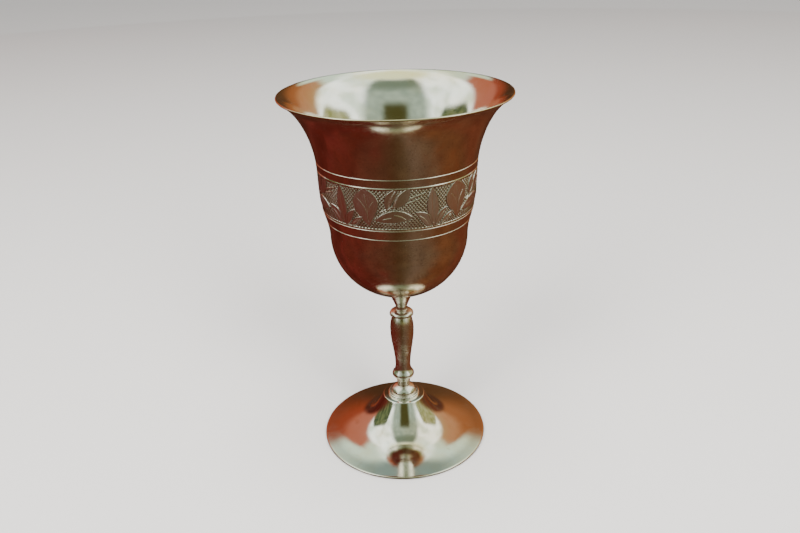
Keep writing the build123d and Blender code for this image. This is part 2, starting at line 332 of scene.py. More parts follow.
def toned_plate():
    """Outside of the cup: warm plate in clouds, with copper blooms, fine specks and smears in the polish.

    The marks on the mesh lay further tones over it: pale leaves, a dark ground, bright cuts (bare metal with
    a painted highlight), bright lip.
    """
    material, tree, shader, node = start_material("toned_plate")
    place = node("ShaderNodeTexCoord").outputs["Object"]
    clouds = node("ShaderNodeTexNoise", {"Vector": place}, in_Scale=38.0, in_Detail=5.0, in_Roughness=0.55)
    blooms = node("ShaderNodeTexNoise", {"Vector": place}, in_Scale=64.0, in_Detail=6.0, in_Roughness=0.65)
    specks = node("ShaderNodeTexNoise", {"Vector": place}, in_Scale=1500.0, in_Detail=4.0)
    smears = node("ShaderNodeTexNoise", {"Vector": place}, in_Scale=240.0, in_Detail=6.0)
    leaf = node("ShaderNodeAttribute", attribute_name="leaf").outputs["Fac"]
    ground = node("ShaderNodeAttribute", attribute_name="ground").outputs["Fac"]
    cut = node("ShaderNodeAttribute", attribute_name="cut").outputs["Fac"]
    bright = node("ShaderNodeAttribute", attribute_name="bright").outputs["Fac"]
    cloudy = ranged(node, clouds.outputs["Fac"], 0.35, 0.68)
    blooming = ranged(node, blooms.outputs["Fac"], 0.50, 0.72, 0.0, 0.8)
    speckled = ranged(node, specks.outputs["Fac"], 0.50, 0.74, 0.0, 0.45)
    colour = mixed(node, cloudy, (0.78, 0.69, 0.56, 1), (0.88, 0.83, 0.70, 1))
    colour = mixed(node, blooming, colour, (0.80, 0.58, 0.44, 1))
    colour = mixed(node, speckled, colour, (0.50, 0.40, 0.30, 1))
    colour = mixed(node, leaf, colour, (0.93, 0.88, 0.84, 1))
    colour = mixed(node, ground, colour, (0.26, 0.23, 0.21, 1))
    # Cuts: the pale bare metal of a cut, lightened further as a painted highlight.
    colour = mixed(node, ranged(node, cut, 0.25, 0.75), colour, (0.95, 0.89, 0.82, 1))
    colour = mixed(node, bright, colour, (0.90, 0.82, 0.60, 1))
    tree.links.new(colour, shader.inputs["Base Color"])
    polish = ranged(node, smears.outputs["Fac"], 0.3, 0.75, 0.11, 0.22)
    worked = node("ShaderNodeMath", {0: leaf, 1: ground}, operation="MAXIMUM").outputs[0]
    tooled = ranged(node, worked, 0.1, 0.6, 0.0, 0.30)
    rough = node("ShaderNodeMath", {0: polish, 1: tooled}, operation="MAXIMUM").outputs[0]
    tree.links.new(rough, shader.inputs["Roughness"])
    tree.links.new(turning_marks(node, place, 4200.0, 0.25), shader.inputs["Normal"])
    return material


toned = toned_plate()
bright_plate = plated(
    "bright_plate", (0.88, 0.87, 0.80, 1), (0.86, 0.78, 0.60, 1), (0.62, 0.52, 0.36, 1), 0.07, 0.15
)
cup.data.materials.append(toned)
cup.data.materials.append(bright_plate)
# The inside's rings come last in the mesh and end in one vertex, so its faces start from this vertex on
first_inside = len(cup.data.vertices) - (len(inside) - 1) * CUP_COLUMNS - 1
corners = np.empty(len(cup.data.loops), dtype=np.int32)
cup.data.loops.foreach_get("vertex_index", corners)
face_starts = np.empty(len(cup.data.polygons), dtype=np.int32)
cup.data.polygons.foreach_get("loop_start", face_starts)
on_inside = corners[face_starts] >= first_inside
cup.data.polygons.foreach_set("material_index", on_inside.astype(np.int32))

# ----------------------------------------------------------------------------------------- leaf band
# The band is cut by hand into the sheet between the two inner lines: leaves are left standing smooth,
# their veins are slanting cuts, pale with bare metal and a painted highlight, and the ground between
# them is sunk and hatched crosswise.
REPEATS = 5
REPEAT_LENGTH = 33.3
COLUMNS_A_REPEAT = 300
BAND_ROWS = 133
CLUSTER_ANGLE = 0.424  # of the tall leaf right of the front
CLOSING_UP = 0.10  # the cutter closed the repeats up a little towards the front
CLOSING_ANGLE = -0.15
BORDER = 0.75  # smooth edge left standing along the inner two lines
GROUND_DEPTH = 0.10
HATCH_DEPTH = 0.20
HATCH_PITCH = 0.95
HATCH_REACH = 0.30  # half the width of one hatching cut
HATCH_SETS = ((radians(52), 0.7), (radians(-48), 1.9))  # lean of each set, and where its wobble starts
OUTLINE_DEPTH = 0.15
OUTLINE_WIDTH = 0.17
VEIN_DEPTH = 0.22
STROKE_DEPTH = 0.03
STROKES_EACH_SIDE = 3.5
PILLOW = 0.08  # how far the middle of a leaf stands above its edge
DEEPEST_CUT = 0.36

# Leaves: base and tip (along, up) in mm from the foot of the tall leaf, half width, bend to the left
# of the way from base to tip, and fullness, above 1 for a leaf that is widest nearer its tip
LEAVES = [
    ((0.5, 0.5), (-0.6, 15.3), 2.15, 0.1, 1.0),  # tall leaf
    ((-1.0, 0.9), (-6.5, 6.9), 1.75, -0.9, 0.80),  # round leaf at its left
    ((1.0, 0.7), (5.3, 7.3), 1.35, 0.5, 0.9),  # small leaf at its right
    ((3.2, 0.7), (8.3, 5.0), 0.95, 0.4, 0.95),  # smallest leaf
    ((10.6, 1.3), (9.3, 15.6), 4.7, 0.3, 1.45),  # broad leaf
    ((16.9, 8.2), (20.6, 15.6), 1.65, 0.7, 1.0),  # left half of the paired leaf
    ((18.6, 8.4), (25.0, 15.7), 1.9, -0.5, 1.1),  # right half of the paired leaf
    ((12.4, 3.9), (25.9, 5.2), 2.35, 0.9, 1.15),  # long leaf
]
# Stalks: start and end, half width and bend
STALKS = [
    ((14.2, 6.9), (31.0, 13.9), 0.42, 0.35),
    ((10.8, 3.2), (18.0, 8.6), 0.45, -0.4),
    ((20.5, 9.4), (29.5, 12.1), 0.22, -0.2),
]
# Veins: start and end, half width and bend; each is one slanting cut
VEINS = [
    ((0.3, 2.0), (-0.35, 13.9), 0.62, 0.0),
    ((-1.8, 1.9), (-5.2, 5.6), 0.26, -0.6),
    ((1.5, 1.5), (4.4, 6.0), 0.42, 0.3),
    ((3.8, 1.2), (7.3, 4.1), 0.40, 0.2),
    ((10.4, 3.4), (6.6, 12.0), 0.24, -1.3),
    ((10.4, 4.2), (9.2, 13.9), 0.26, -0.5),
    ((10.7, 3.6), (12.8, 11.5), 0.24, 1.0),
    ((17.7, 9.0), (20.1, 15.0), 0.36, 0.45),
    ((19.7, 9.0), (22.2, 15.1), 0.36, 0.55),
    ((15.4, 4.5), (18.6, 5.2), 0.42, 0.1),
    ((19.4, 6.3), (23.6, 4.5), 0.46, 0.35),
    ((22.0, 7.6), (25.4, 5.6), 0.20, 0.5),
]


def along_line(x, y, start, end, bend):
    """Share t of the way from start to end, and the distance n to the left of a bowed line between them.

    The line bows by 4 t (1 - t) times the bend. Along the band, x is taken in the repeat nearest to it.
    """
    (x0, y0), (x1, y1) = start, end
    middle = (x0 + x1) / 2
    near = (x - middle + REPEAT_LENGTH / 2) % REPEAT_LENGTH - REPEAT_LENGTH / 2 + middle
    across, up = x1 - x0, y1 - y0
    length = np.hypot(across, up)
    t = ((near - x0) * across + (y - y0) * up) / length**2
    n = ((y - y0) * across - (near - x0) * up) / length
    return t, n - bend * 4 * t * (1 - t)


def leaf_reach(x, y, start, end, half_width, bend, fullness):
    """How far a point lies inside a leaf: its half width, a sine of the share along it, less |n|."""
    t, n = along_line(x, y, start, end, bend)
    inside_ends = np.clip(t, 0, 1)
    half = half_width * np.sin(pi * inside_ends**fullness) ** 0.75
    beyond = np.abs(t - inside_ends) * np.hypot(end[0] - start[0], end[1] - start[1])
    return half - np.abs(n) - beyond


def leaf_strokes(x, y, start, end, half_width, bend, fullness):
    """Fine strokes that fan out from the base of a leaf: a wave of the distance n over the fan's width."""
    t, n = along_line(x, y, start, end, bend)
    fan = n / (0.35 * half_width + half_width * np.clip(t, 0, 1))
    inside_leaf = smooth(leaf_reach(x, y, start, end, half_width, bend, fullness), 0.15, 0.45)
    return inside_leaf * (0.5 - 0.5 * np.cos(tau * STROKES_EACH_SIDE * fan))


def slanting_cut(x, y, start, end, half_width, bend):
    """Share of full depth of a cut with one long slope and one short one, tapering at both ends."""
    t, n = along_line(x, y, start, end, bend)
    half = half_width * np.sqrt(np.clip(np.sin(pi * np.clip(t, 0, 1)), 0, 1)) + 1e-6
    side = n / half
    return np.where((t > 0) & (t < 1), np.clip(np.minimum((1 + side) / 1.5, (1 - side) / 0.5), 0, 1), 0)


def smooth(value, low, high):
    """Eases from 0 to 1 as the value goes from low to high: 3 s^2 - 2 s^3."""
    s = np.clip((value - low) / (high - low), 0, 1)
    return s * s * (3 - 2 * s)


def hatching(x, y):
    """Two crossing sets of straight cuts, each a pitch apart and wobbling a little.

    Returns how near a point is to the closest cut, and how near to the middle of the little diamond left
    standing between four of them, both from 0 to 1.
    """
    deepest = np.zeros_like(x)
    standing = np.ones_like(x)
    for lean, wobble_start in HATCH_SETS:
        wobble = 0.10 * np.sin(0.9 * x + wobble_start) * np.cos(0.7 * y)
        across = x * sin(lean) + y * cos(lean) + wobble
        away = np.abs((across / HATCH_PITCH) % 1 - 0.5) * HATCH_PITCH
        deepest = np.maximum(deepest, np.clip(1 - away / HATCH_REACH, 0, 1))
        standing = np.minimum(standing, away / (HATCH_PITCH / 2))
    return deepest, standing


def band_relief(x, y, height):
    """Depth of the cut surface below the sheet, and the shares of bright cut, dark ground and leaf.

    Where no leaf or stalk stands, the ground is sunk and hatched. Outlines, veins and strokes go deeper,
    and the pillow of a leaf is taken off again. The turned lines keep their full depth. The bright cut
    share of veins, turned lines and hatching is the bare metal of the cuts with a painted highlight.
    """
    reach = np.max([leaf_reach(x, y, *leaf) for leaf in LEAVES], axis=0)
    for start, end, half_width, bend in STALKS:
        reach = np.maximum(reach, leaf_reach(x, y, start, end, half_width, bend, 1.0))
    border = np.minimum(engraving_top - height, height - engraving_bottom)
    standing = np.maximum(smooth(reach, -0.05, 0.10), smooth(BORDER - border, -0.08, 0.08))
    ground = 1 - standing
    hatch, diamond = hatching(x, y)
    hatch, diamond = hatch * ground, smooth(diamond, 0.42, 0.80) * ground
    from_edge = np.min([np.abs(leaf_reach(x, y, *leaf) + 0.05) for leaf in LEAVES], axis=0)
    outline = np.clip(1 - from_edge / OUTLINE_WIDTH, 0, 1) * smooth(border, 0.2, 0.6)
    vein = np.max([slanting_cut(x, y, *cut) for cut in VEINS], axis=0)
    strokes = np.max([leaf_strokes(x, y, *leaf) for leaf in LEAVES], axis=0) * (1 - vein)
    pillow = PILLOW * smooth(reach, 0.0, 1.6)
    line = line_cut(height)
    depth = GROUND_DEPTH * ground + HATCH_DEPTH * hatch + OUTLINE_DEPTH * outline + VEIN_DEPTH * vein
    depth = np.clip(depth + STROKE_DEPTH * strokes - pillow, LINE_DEPTH * line, DEEPEST_CUT)
    # Veins, turned lines and hatching are made pale: bare metal of the cuts plus a painted highlight.
    bright = np.clip(1.2 * vein + line + 0.9 * hatch, 0, 1)
    dark = np.clip(ground * (1 - 0.6 * hatch) * (1 - 0.5 * diamond) + 0.6 * outline, 0, 1)
    leaf = smooth(reach, 0.0, 0.2)
    return depth, bright, dark, leaf


columns = REPEATS * COLUMNS_A_REPEAT
band_angle = np.arange(-1, columns + 2) * (tau / columns)
band_height = np.linspace(engraving_bottom, engraving_top, BAND_ROWS)
turned = band_angle + CLOSING_UP * np.sin(band_angle - CLOSING_ANGLE)
cluster = CLUSTER_ANGLE + CLOSING_UP * sin(CLUSTER_ANGLE - CLOSING_ANGLE)
along, height = np.meshgrid((turned - cluster) / tau * REPEATS * REPEAT_LENGTH, band_height)
# The bright cut share carries the pale tone of bare metal and a painted highlight into the cut mark.
relief, cut_and_highlight_share, dark_share, leaf_share = band_relief(along, height - engraving_bottom, height)
sheet_radius = np.interp(band_height, outer_wall[:, 1], outer_wall[:, 0])
radius = sheet_radius[:, None] - relief
surface = np.stack([radius * np.sin(band_angle), -radius * np.cos(band_angle), height], -1) * MM
sideways = np.gradient(surface, axis=1)
upwards = np.gradient(surface, axis=0)
facing = np.cross(sideways, upwards)
facing /= np.linalg.norm(facing, axis=-1, keepdims=True)


def band_panel(number):
    """One repeat of the band as its own piece, with the normals of the whole band so no joint shows."""
    span = slice(1 + number * COLUMNS_A_REPEAT, 2 + (number + 1) * COLUMNS_A_REPEAT)
    rows, width = BAND_ROWS, COLUMNS_A_REPEAT + 1
    index = np.arange(rows * width).reshape(rows, width)
    quads = np.stack([index[:-1, :-1], index[:-1, 1:], index[1:, 1:], index[1:, :-1]], -1).reshape(-1, 4)
    marks = {"cut": cut_and_highlight_share, "ground": dark_share, "leaf": leaf_share}
    marks = {mark: values[:, span].ravel() for mark, values in marks.items()}
    piece = new_mesh(f"leaf_band_{number + 1}", surface[:, span].reshape(-1, 3), quads.tolist(), marks)
    piece.data.normals_split_custom_set_from_vertices(facing[:, span].reshape(-1, 3).tolist())
    piece.data.materials.append(toned)
    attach(piece, "root")
    return piece


for number in range(REPEATS):
    band_panel(number)

# ---------------------------------------------------------------------------------------- cup's boss
# A small collar turned from brass bar, brazed to the bottom of the cup and tapped for the tie rod. Its
# upper end opens to a seat that follows the cup, with a thin fillet of solder round it.
boss_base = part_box("cup_boss")[0][2] / MM
BOSS_SEAT_RADIUS = 5.15
BOSS_SEAT_ANGLE = radians(73)  # how steeply the collar meets the cup
BOSS_NECK_RADIUS = 2.3
BOSS_NECK_HEIGHT = 1.2
BOSS_NECK_PULL = 1.0  # how far the collar holds upright above its neck
BOSS_SEAT_PULL = 2.6  # and its slope under the seat
SOLDER_WIDTH = 0.12
STEM_COLUMNS = 128

stem_plate = plated(
    "stem_plate", (0.88, 0.85, 0.78, 1), (0.84, 0.74, 0.58, 1), (0.50, 0.36, 0.22, 1), 0.17, 0.3
)


def cup_bottom(radius):
    """Height of the outside of the cup's bottom at a radius: the ellipse of the wall line."""
    return belly_line - (belly_line - cup_base) * np.sqrt(1 - (radius / BELLY_RADIUS) ** 2)


def turned_piece(name, profile, node, material, columns=STEM_COLUMNS, closed=False):
    """A spun profile that stands for one solid of the frame, with its finish."""
    piece = spin(name, profile, columns, closed)
    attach(piece, "root")
    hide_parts(node)
    piece.data.materials.append(material)
    return piece


seat_end = np.array([BOSS_SEAT_RADIUS, cup_bottom(BOSS_SEAT_RADIUS)])
neck_end = np.array([BOSS_NECK_RADIUS, boss_base + BOSS_NECK_HEIGHT])
seat_handle = seat_end - heading(BOSS_SEAT_ANGLE) * BOSS_SEAT_PULL
collar = bezier([neck_end, neck_end + [0, BOSS_NECK_PULL], seat_handle, seat_end], 40)
seat_radii = np.linspace(BOSS_SEAT_RADIUS + SOLDER_WIDTH, 0, 10)
seat = np.stack([seat_radii, cup_bottom(seat_radii) + 0.02], 1)
boss_profile = np.concatenate([[(0, boss_base), (BOSS_NECK_RADIUS, boss_base)], collar, seat])
turned_piece("boss_collar", boss_profile, "cup_boss", stem_plate)

# ---------------------------------------------------------------------------------------------- knop
# A small dome turned from brass bar, clamped between the boss and the stem. It is undercut, so a dark
# line parts it from the baluster below.
knop_low, knop_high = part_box("knop")
knop_base, knop_top = knop_low[2] / MM, knop_high[2] / MM
KNOP_RADIUS = 4.8
KNOP_UNDERCUT = 0.25
KNOP_EDGE_HEIGHT = 0.4
KNOP_TOP_RADIUS = 2.4
STEM_TOP_RADIUS = 3.5


def rounded(corner, before, after, size):
    """Five points that round a corner between the points before and after it: a small parabola."""
    corner, before, after = (np.asarray(point, float) for point in (corner, before, after))
    start = corner + (before - corner) * size / np.linalg.norm(before - corner)
    end = corner + (after - corner) * size / np.linalg.norm(after - corner)
    t = np.linspace(0, 1, 5)[:, None]
    return (1 - t) ** 2 * start + 2 * t * (1 - t) * corner + t**2 * end


edge_base = knop_base + KNOP_UNDERCUT
edge_top = np.array([KNOP_RADIUS, edge_base + KNOP_EDGE_HEIGHT])
dome_end = (KNOP_TOP_RADIUS, knop_top)
dome = bezier([edge_top, edge_top + [0, 0.95], (KNOP_TOP_RADIUS + 1.1, knop_top - 0.2), dome_end], 30)
knop_edge = rounded((KNOP_RADIUS, edge_base), (STEM_TOP_RADIUS, edge_base), edge_top, 0.12)
knop_foot = [(0, knop_base + 0.02), (STEM_TOP_RADIUS, knop_base + 0.02), (STEM_TOP_RADIUS + 0.25, edge_base)]
knop_profile = np.concatenate([knop_foot, knop_edge, dome, [(0, knop_top)]])
turned_piece("knop_dome", knop_profile, "knop", stem_plate)

# ---------------------------------------------------------------------------------------------- stem
# The stem is turned from one brass bar: a bell at the foot, a short neck, a bead and a long baluster.
# Plain spigots at its ends sit in the knop and in the foot, where they don't show.
stem_low, stem_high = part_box("stem")
ring_low, ring_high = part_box("base_ring")
stem_base = ring_high[2] / MM
spigot_base, spigot_top = stem_low[2] / MM, stem_high[2] / MM
BELL_RADIUS = 5.15
NECK_RADIUS = 2.7
BEAD_RADIUS = 4.5
WAIST_RADIUS = 3.1
BALUSTER_RADIUS = 4.8
SPIGOT_RADIUS = 2.6
BELL_HEIGHT = 3.1
NECK_HEIGHT = 2.3
BEAD_RISE = 3.3  # from the neck to the widest part of the bead
WAIST_RISE = 4.4  # from there to the waist
SHOULDER_HEIGHT = 6.5  # from the widest part of the baluster to its top


def swell(low, high, low_pull, high_pull, count):
    """Line between two points, upright at both: each pull is how far it holds upright from its end."""
    return bezier([low, (low[0], low[1] + low_pull), (high[0], high[1] - high_pull), high], count)


bell_top = stem_base + BELL_HEIGHT
neck_top = bell_top + NECK_HEIGHT
bead_line = neck_top + BEAD_RISE
waist_line = bead_line + WAIST_RISE
baluster_line = knop_base - SHOULDER_HEIGHT
bell_edge = rounded((BELL_RADIUS, stem_base), (0, stem_base), (BELL_RADIUS, bell_top), 0.15)
bell = bezier(
    [
        (BELL_RADIUS, stem_base + 0.3),
        (BELL_RADIUS, stem_base + 1.4),
        (NECK_RADIUS + 1.3, bell_top - 0.55),
        (NECK_RADIUS, bell_top),
    ],
    40,
)
bead = swell((NECK_RADIUS, neck_top), (BEAD_RADIUS, bead_line), 1.1, 1.3, 30)
bead_to_waist = swell((BEAD_RADIUS, bead_line), (WAIST_RADIUS, waist_line), 1.3, 3.2, 40)
rise = baluster_line - waist_line
baluster = swell((WAIST_RADIUS, waist_line), (BALUSTER_RADIUS, baluster_line), rise / 3, rise / 3, 90)
shoulder = bezier(
    [
        (BALUSTER_RADIUS, baluster_line),
        (BALUSTER_RADIUS, baluster_line + 2.3),
        (STEM_TOP_RADIUS + 0.95, knop_base - 1.95),
        (STEM_TOP_RADIUS, knop_base),
    ],
    40,
)
stem_profile = np.concatenate(
    [
        [(0, spigot_base), (SPIGOT_RADIUS, spigot_base), (SPIGOT_RADIUS, stem_base)],
        bell_edge,
        bell,
        bead[:-1],
        bead_to_waist[:-1],
        baluster[:-1],
        shoulder,
        [(SPIGOT_RADIUS, knop_base), (SPIGOT_RADIUS, spigot_top), (0, spigot_top)],
    ]
)
turned_piece("baluster_stem", stem_profile, "stem", stem_plate)

# ----------------------------------------------------------------------------------------- base ring
# A flat brass ring with a rounded edge, turned from bar. It is clamped between the stem and the platform
# of the foot.
RING_RADIUS = 6.45
RING_ROUNDING = 0.5
RING_CLEARANCE = 0.05  # round the spigot of the stem
ring_base = ring_low[2] / MM
ring_inner = SPIGOT_RADIUS + RING_CLEARANCE
ring_round = arc(
    (RING_RADIUS - RING_ROUNDING, stem_base - RING_ROUNDING), RING_ROUNDING, RING_ROUNDING, 0, pi / 2, 9
)
ring_under = rounded((RING_RADIUS, ring_base), (ring_inner, ring_base), (RING_RADIUS, stem_base), 0.1)
ring_profile = np.concatenate(
    [[(ring_inner, ring_base)], ring_under, ring_round, [(ring_inner, stem_base)]]
)
turned_piece("ring_round_stem", ring_profile, "base_ring", stem_plate, closed=True)

# ---------------------------------------------------------------------------------------------- foot
# The foot is spun from one disc of brass into a trumpet with a flatter brim and a small flat platform,
# plated and polished like the cup. The lower spigot of the stem fits the hole in the platform.
FOOT_SHEET = 0.8
FOOT_RADIUS = 34.0
BRIM_ANGLE = radians(7)
BRIM_PULL = 13.0  # how far the trumpet holds the slope of the brim
PLATFORM_PULL = 11.0  # and the slope under the platform
BRIM_WIDTH = 3.0
PLATFORM_RADIUS = 8.7
PLATFORM_ROUNDING = 0.4
PLATFORM_ANGLE = radians(68)
BRIM_EDGE_HEIGHT = 1.2
foot_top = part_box("foot")[1][2] / MM
brim_heading = heading(-BRIM_ANGLE)
brim_across = heading(pi / 2 - BRIM_ANGLE) * FOOT_SHEET / 2
brim_middle = np.array([FOOT_RADIUS, BRIM_EDGE_HEIGHT]) - FOOT_SHEET / 2
platform_heading = heading(pi - PLATFORM_ANGLE)


def foot_side(side, end):
    """Top (side 1) or underside (side -1) of the sheet from the edge of the brim up to the platform."""
    edge = brim_middle + side * brim_across
    turn = brim_middle + brim_across - brim_heading * BRIM_WIDTH - (1 - side) * brim_across
    handles = [turn, turn - brim_heading * BRIM_PULL, end - platform_heading * PLATFORM_PULL, end]
    return np.concatenate([respaced(np.array([edge, turn]), 0.5), respaced(bezier(handles, 200), 0.4)[1:]])


platform_edge = np.array([PLATFORM_RADIUS, foot_top - PLATFORM_ROUNDING])
top_side = foot_side(1, platform_edge)
under_side = foot_side(-1, np.array([PLATFORM_RADIUS - FOOT_SHEET, foot_top - FOOT_SHEET]))
platform_round = bezier(
    [
        platform_edge,
        platform_edge + platform_heading * 0.25,
        (PLATFORM_RADIUS - PLATFORM_ROUNDING + 0.15, foot_top),
        (PLATFORM_RADIUS - PLATFORM_ROUNDING, foot_top),
    ],
    9,
)
brim_end = arc(
    brim_middle, FOOT_SHEET / 2, FOOT_SHEET / 2, -pi / 2 - BRIM_ANGLE, pi / 2 - BRIM_ANGLE, 13
)
foot_profile = np.concatenate(
    [
        brim_end,
        top_side[1:],
        platform_round[1:],
        [(ring_inner, foot_top), (ring_inner, foot_top - FOOT_SHEET)],
        under_side[::-1][:-1],
    ]
)
foot_plate = plated(
    "foot_plate", (0.88, 0.87, 0.79, 1), (0.85, 0.76, 0.60, 1), (0.55, 0.42, 0.28, 1), 0.07, 0.15
)
turned_piece("trumpet_foot", foot_profile, "foot", foot_plate, CUP_COLUMNS, closed=True)

# ----------------------------------------------------------------------------------------- foot wire
# A flat brass wire soldered under the brim. It stiffens the edge and is all that touches the table.
WIRE_WIDTH = 2.2
WIRE_INSET = 0.6
WIRE_ROUNDINGS = (0.15, 0.15, 0.03, 0.03)  # of its two lower corners, then of those under the brim
wire_outer = FOOT_RADIUS - WIRE_INSET
wire_inner = wire_outer - WIRE_WIDTH
brim_under = brim_middle - brim_across


def under_brim(radius):
    """Height of the underside of the brim at a radius: it falls outwards at the brim's angle."""
    return brim_under[1] + (brim_under[0] - radius) * np.tan(BRIM_ANGLE)


wire_corners = [
    (wire_inner, 0.0),
    (wire_outer, 0.0),
    (wire_outer, under_brim(wire_outer)),
    (wire_inner, under_brim(wire_inner)),
]
wire_profile = np.concatenate(
    [
        rounded(wire_corners[i], wire_corners[i - 1], wire_corners[(i + 1) % 4], rounding)
        for i, rounding in enumerate(WIRE_ROUNDINGS)
    ]
)
turned_piece("wire_under_brim", wire_profile, "foot_wire", foot_plate, CUP_COLUMNS, closed=True)

# ------------------------------------------------------------------------------- tie rod and its nut
# The rod is an M3 steel stud, screwed into the boss and drawn down by a nut on a split washer and a
# flat washer under the foot. Only its lower end shows, inside the hollow of the foot.
rod_low, rod_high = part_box("tie_rod")
ROD_RADIUS = 1.5
ROD_ROWS = 620
ROD_COLUMNS = 40
THREAD_PITCH = 0.5
THREAD_DEPTH = 0.27
ROD_CHAMFER = 0.3


def threaded_rod(name):
    """A stud with a screw thread.

    Radius: the rod's, less the thread's depth times a wave of the height over the pitch less the
    angle over a turn, and never more than the cone of the chamfer at either end allows.
    """
    base, top = rod_low[2] / MM, rod_high[2] / MM
    height = np.linspace(base, top, ROD_ROWS)[:, None]
    angle = (np.arange(ROD_COLUMNS) * (tau / ROD_COLUMNS))[None, :]
    wave = (height / THREAD_PITCH - angle / tau) % 1
    radius = ROD_RADIUS - THREAD_DEPTH * smooth(np.abs(wave - 0.5) * 2, 0.12, 0.88)
    cone = np.minimum(height - base, top - height) + ROD_RADIUS - ROD_CHAMFER
    radius = np.minimum(radius, cone)
    grid = np.stack([radius * np.sin(angle), -radius * np.cos(angle), height + 0 * angle], -1)
    low_pole, high_pole = radius.size, radius.size + 1
    vertices = np.concatenate([grid.reshape(-1, 3), [(0, 0, base), (0, 0, top)]]) * MM
    index = np.arange(radius.size).reshape(radius.shape)
    turn = np.roll(index, -1, 1)
    quads = np.stack([index[:-1], turn[:-1], turn[1:], index[1:]], -1).reshape(-1, 4).tolist()
    low_end = np.stack([turn[0], index[0], np.full(ROD_COLUMNS, low_pole)], -1).tolist()
    high_end = np.stack([index[-1], turn[-1], np.full(ROD_COLUMNS, high_pole)], -1).tolist()
    piece = new_mesh(name, vertices, quads + low_end + high_end)
    piece.data.set_sharp_from_angle(angle=radians(50))
    return piece


steel = plated(
    "zinc_plated_steel", (0.62, 0.63, 0.64, 1), (0.56, 0.55, 0.50, 1), (0.36, 0.33, 0.29, 1), 0.24, 0.4
)
rod = threaded_rod("threaded_rod")
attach(rod, "root")
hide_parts("tie_rod")
rod.data.materials.append(steel)
for node_name in ("washer", "lock_washer", "nut"):
    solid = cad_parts[node_name]
    for material_slot in solid.material_slots:
        material_slot.material = steel

# --------------------------------------------------------------------------------------------- stage
# A pale floor, two tall soft boxes in front and one overhead. A tent round the goblet and the lamps is
# seen in reflections only: the metal mirrors pale sky and a garden above, dark red and brown cloth below.
FLOOR_HALF = 6
floor_mesh = bpy.data.meshes.new("floor")
floor_corners = [(x, y, 0) for x, y in ((-1, -1), (1, -1), (1, 1), (-1, 1))]
floor_mesh.from_pydata((np.array(floor_corners) * FLOOR_HALF).tolist(), [], [(0, 1, 2, 3)])
floor = bpy.data.objects.new("floor", floor_mesh)
bpy.context.collection.objects.link(floor)
floor_material, _, floor_shader, _ = start_material("pale_floor")
floor_shader.inputs["Metallic"].default_value = 0.0
floor_shader.inputs["Base Color"].default_value = (0.72, 0.70, 0.68, 1)
floor_shader.inputs["Roughness"].default_value = 0.75
floor_mesh.materials.append(floor_material)
floor.visible_glossy = False

TENT_RADIUS = 1.6
# Tones of the tent from the left (0) to the right (1) of the goblet
TABLE_TONES = [
    (0.0, (0.125, 0.024, 0.016)),
    (0.12, (0.135, 0.042, 0.027)),
    (0.34, (0.110, 0.046, 0.026)),
    (0.5, (0.090, 0.046, 0.020)),
    (0.62, (0.110, 0.068, 0.038)),
    (0.70, (0.175, 0.112, 0.076)),
    (0.9, (0.160, 0.092, 0.055)),
    (1.0, (0.180, 0.068, 0.030)),
]
CLOTH_TONES = [(0.1, (0.112, 0.018, 0.013)), (0.5, (0.070, 0.030, 0.018)), (0.9, (0.170, 0.048, 0.024))]
FOLD_TONES = [
    (0.0, (0.62, 0.22, 0.14)),
    (0.25, (0.58, 0.18, 0.11)),
    (0.32, (0.36, 0.070, 0.034)),
    (0.45, (0.08, 0.036, 0.018)),
    (0.56, (0.12, 0.056, 0.026)),
    (0.70, (0.42, 0.150, 0.055)),
    (0.80, (0.62, 0.30, 0.15)),
    (1.0, (0.64, 0.44, 0.22)),
]
tent_rows = arc((0, 0), TENT_RADIUS, TENT_RADIUS, -pi / 2, pi / 2, 33) / MM
tent_rows[[0, -1], 0] = 0
tent = spin("tent", tent_rows, 64, sharp=180)
tent.visible_camera = False
tent.visible_diffuse = False
tent.visible_shadow = False
tent.visible_transmission = False


def banded(node, value, stops):
    """A colour that runs through the stops (place, colour) as the value goes from 0 to 1."""
    ramp = node("ShaderNodeValToRGB", {"Fac": value})
    ramp.color_ramp.interpolation = "EASE"
    points = ramp.color_ramp.elements
    while len(points) < len(stops):
        points.new(0.5)
    for point, (place, colour) in zip(points, stops):
        point.position = place
        point.color = (*colour, 1)
    return ramp.outputs["Color"]


def tent_noise(node, direction, scale):
    """Cloudy noise over the directions."""
    noise = node("ShaderNodeTexNoise", {"Vector": direction}, in_Scale=scale, in_Detail=4.0, in_Roughness=0.6)
    return noise.outputs["Fac"]


def garden_in_front(node, side, sideways, z, tufts, sky):
    """What stands behind the viewer: a grey green house front, the viewer's dark shape and hedges."""
    wall = mixed(node, ranged(node, tufts, 0.4, 0.65), (0.38, 0.48, 0.38, 1), (0.58, 0.70, 0.54, 1))
    house = mixed(node, ranged(node, z, 0.78, 0.90), wall, (0.21, 0.27, 0.19, 1))
    house = mixed(node, ranged(node, z, 0.95, 0.99), house, sky)
    front = mixed(node, ranged(node, sideways, 0.64, 0.84), house, sky)
    viewer = mixed(node, ranged(node, z, 0.55, 0.72), (0.085, 0.080, 0.024, 1), front)
    front = mixed(node, ranged(node, sideways, 0.22, 0.42), viewer, front)
    leaves = mixed(node, ranged(node, tufts, 0.42, 0.6), (0.07, 0.10, 0.05, 1), (0.20, 0.24, 0.10, 1))
    bush = mixed(node, ranged(node, tufts, 0.40, 0.6), (0.30, 0.32, 0.10, 1), (0.62, 0.62, 0.34, 1))
    hedge = mixed(node, ranged(node, side, -0.5, 0.5), leaves, bush)
    hedge_top = ranged(node, sideways, 0.84, 0.97, 0.10, 0.48)
    over_hedge = node("ShaderNodeMath", {0: z, 1: hedge_top}, operation="SUBTRACT").outputs[0]
    return mixed(node, ranged(node, over_hedge, -0.04, 0.06), hedge, front)


